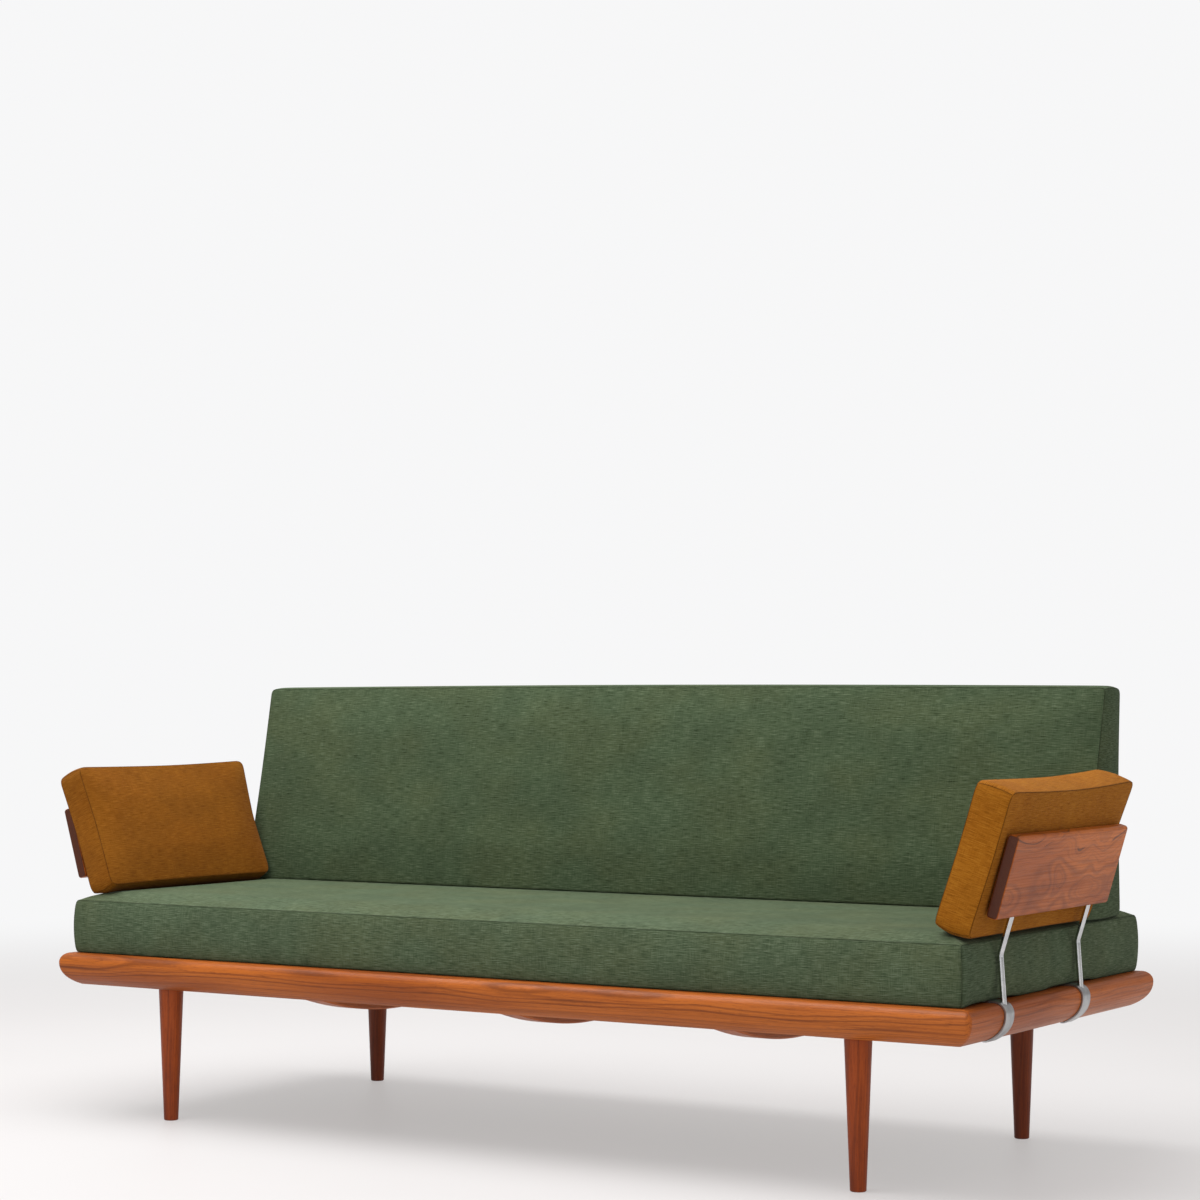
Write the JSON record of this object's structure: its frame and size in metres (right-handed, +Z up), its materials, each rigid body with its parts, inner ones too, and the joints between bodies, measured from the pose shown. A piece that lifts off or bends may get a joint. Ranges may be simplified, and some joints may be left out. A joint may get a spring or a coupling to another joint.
{
  "type": "daybed",
  "caption": "Low daybed: bevelled wooden frame on tapered legs, boxed mattress, wedge back cushion and tilted arm cushions on clip-on steel supports.",
  "frame": {"origin": "on the floor, midway along and across the frame", "axes": "+X along the length towards the sitter's left, +Y to the rear (back cushion), +Z up"},
  "size_m": [2.0585, 0.8032, 0.836],
  "materials": {
    "teak_long": "oiled satin",
    "teak_end": "oiled satin",
    "teak_stretcher": "oiled satin",
    "teak_block": "plain oiled",
    "teak_leg": "oiled satin",
    "teak_arm_board": "oiled satin, figured",
    "teak_back_board": "oiled satin",
    "beech_dowel": "plain",
    "steel_fixing": "zinc plated",
    "steel_spring": "bright drawn wire",
    "steel_rod": "polished",
    "steel_clip": "satin",
    "felt_lining": "felt",
    "fabric_green": "woven canvas, melange",
    "fabric_ochre": "woven canvas, melange"
  },
  "bodies": {
    "frame": {"block_screws": "steel_fixing", "cross_stretcher_left": "teak_stretcher", "cross_stretcher_middle": "teak_stretcher", "cross_stretcher_right": "teak_stretcher", "front_rail": "teak_long", "left_end_rail": "teak_end", "leg_block_front_left": "teak_block", "leg_block_front_right": "teak_block", "leg_block_rear_left": "teak_block", "leg_block_rear_right": "teak_block", "leg_bolts": "steel_fixing", "leg_front_left": "teak_leg", "leg_front_right": "teak_leg", "leg_rear_left": "teak_leg", "leg_rear_right": "teak_leg", "rear_rail": "teak_long", "right_end_rail": "teak_end", "seat_spring_01": "steel_spring", "seat_spring_02": "steel_spring", "seat_spring_03": "steel_spring", "seat_spring_04": "steel_spring", "seat_spring_05": "steel_spring", "seat_spring_06": "steel_spring", "seat_spring_07": "steel_spring", "seat_spring_08": "steel_spring", "seat_spring_09": "steel_spring", "seat_spring_10": "steel_spring", "seat_spring_11": "steel_spring", "seat_spring_12": "steel_spring", "seat_spring_13": "steel_spring", "seat_spring_14": "steel_spring", "stretcher_dowels": "beech_dowel"},
    "mattress": {"mattress": "fabric_green"},
    "back_cushion": {"back_cushion": "fabric_green"},
    "left_arm_cushion": {"left_arm_cushion": "fabric_ochre"},
    "right_arm_cushion": {"right_arm_cushion": "fabric_ochre"},
    "left_arm_support": {"left_arm_board": "teak_arm_board", "left_arm_clip_1": "steel_clip", "left_arm_clip_2": "steel_clip", "left_arm_felt": "felt_lining", "left_arm_rod_1": "steel_rod", "left_arm_rod_2": "steel_rod"},
    "right_arm_support": {"right_arm_board": "teak_arm_board", "right_arm_clip_1": "steel_clip", "right_arm_clip_2": "steel_clip", "right_arm_felt": "felt_lining", "right_arm_rod_1": "steel_rod", "right_arm_rod_2": "steel_rod"},
    "left_back_support": {"back_left_board": "teak_back_board", "back_left_clip_1": "steel_clip", "back_left_clip_2": "steel_clip", "back_left_felt": "felt_lining", "back_left_rod_1": "steel_rod", "back_left_rod_2": "steel_rod"},
    "right_back_support": {"back_right_board": "teak_back_board", "back_right_clip_1": "steel_clip", "back_right_clip_2": "steel_clip", "back_right_felt": "felt_lining", "back_right_rod_1": "steel_rod", "back_right_rod_2": "steel_rod"}
  },
  "joints": [
    {"name": "mattress_pull", "type": "slide", "parent": "frame", "child": "mattress", "axis": [0, -0.9659, 0.2588], "range_m": [0, 0.3]},
    {"name": "back_cushion_lift", "type": "slide", "parent": "mattress", "child": "back_cushion", "axis": [0, 0, 1], "range_m": [0, 0.25]},
    {"name": "left_arm_cushion_lift", "type": "slide", "parent": "mattress", "child": "left_arm_cushion", "axis": [-0.3859, 0, 0.9225], "range_m": [0, 0.2]},
    {"name": "right_arm_cushion_lift", "type": "slide", "parent": "mattress", "child": "right_arm_cushion", "axis": [0.3007, 0, 0.9537], "range_m": [0, 0.2]},
    {"name": "left_arm_support_slide", "type": "slide", "parent": "frame", "child": "left_arm_support", "axis": [0, 1, 0], "range_m": [-0.055, 0.055]},
    {"name": "right_arm_support_slide", "type": "slide", "parent": "frame", "child": "right_arm_support", "axis": [0, 1, 0], "range_m": [-0.055, 0.055]},
    {"name": "left_back_support_slide", "type": "slide", "parent": "frame", "child": "left_back_support", "axis": [1, 0, 0], "range_m": [-0.04, 0.04]},
    {"name": "right_back_support_slide", "type": "slide", "parent": "frame", "child": "right_back_support", "axis": [1, 0, 0], "range_m": [-0.04, 0.04]}
  ]
}
